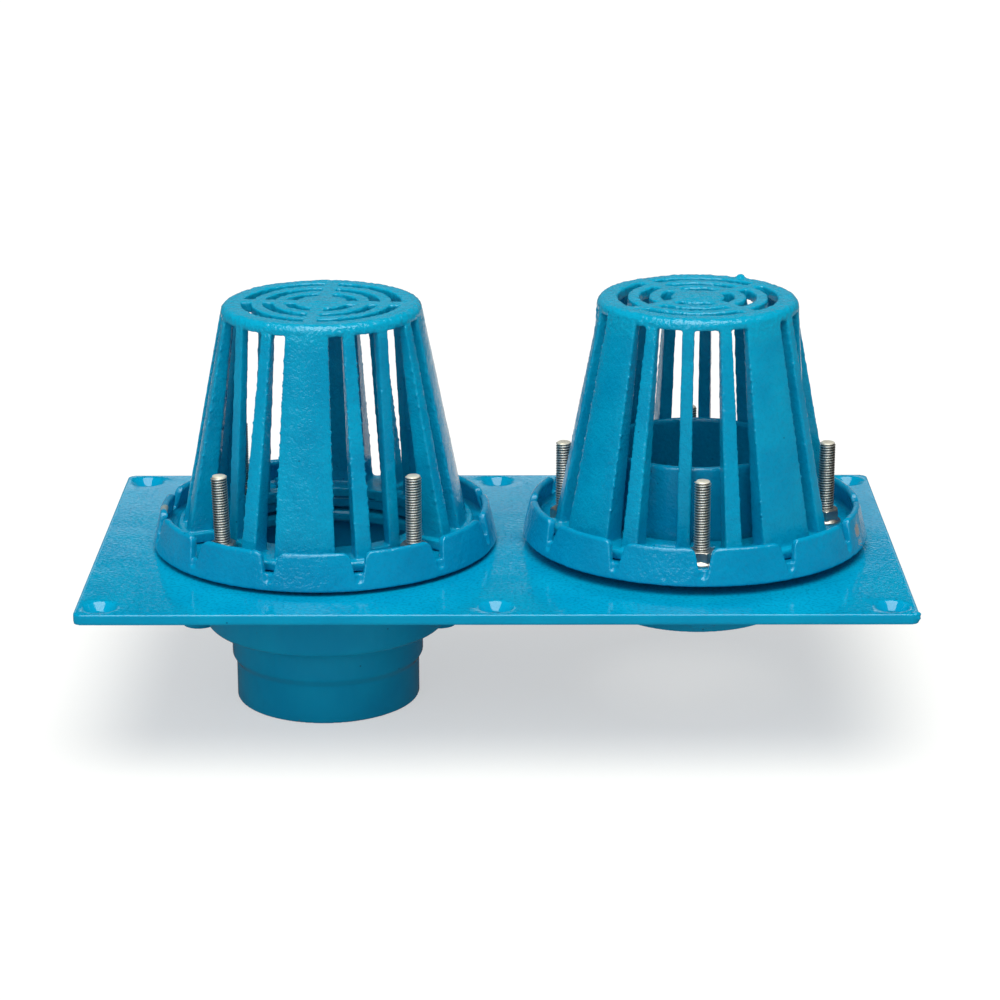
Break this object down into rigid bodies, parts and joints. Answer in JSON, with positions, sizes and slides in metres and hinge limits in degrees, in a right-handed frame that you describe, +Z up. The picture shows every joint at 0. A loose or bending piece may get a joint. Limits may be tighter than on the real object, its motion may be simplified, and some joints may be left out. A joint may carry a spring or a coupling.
{
  "type": "flat roof drain with overflow",
  "caption": "Cast deck plate with a deep main outlet and a short overflow outlet, each under a notched clamp collar and a slotted dome strainer.",
  "frame": {"origin": "centre of the deck plate's bolt pattern, on the plate's underside", "axes": "+X along the deck plate from the main outlet to the overflow outlet, +Y across it to the back, +Z up out of the roof"},
  "size_m": [0.478, 0.268, 0.2494],
  "materials": {
    "enamelled_casting": "satin blue enamel over pebbled sand casting",
    "stud_steel": "rolled thread, bright",
    "nut_steel": "zinc plated, slightly dull"
  },
  "bodies": {
    "root": {"drain_body": "enamelled_casting", "main_clamp_collar": "enamelled_casting", "overflow_clamp_collar": "enamelled_casting", "main_dome": "enamelled_casting", "overflow_dome": "enamelled_casting", "overflow_standpipe": "enamelled_casting", "main_stud_1": "stud_steel", "main_stud_2": "stud_steel", "main_stud_3": "stud_steel", "main_stud_4": "stud_steel", "overflow_stud_1": "stud_steel", "overflow_stud_2": "stud_steel", "overflow_stud_3": "stud_steel", "overflow_stud_4": "stud_steel", "main_nut_1": "nut_steel", "main_nut_2": "nut_steel", "main_nut_3": "nut_steel", "main_nut_4": "nut_steel", "overflow_nut_1": "nut_steel", "overflow_nut_2": "nut_steel", "overflow_nut_3": "nut_steel", "overflow_nut_4": "nut_steel"}
  },
  "joints": []
}
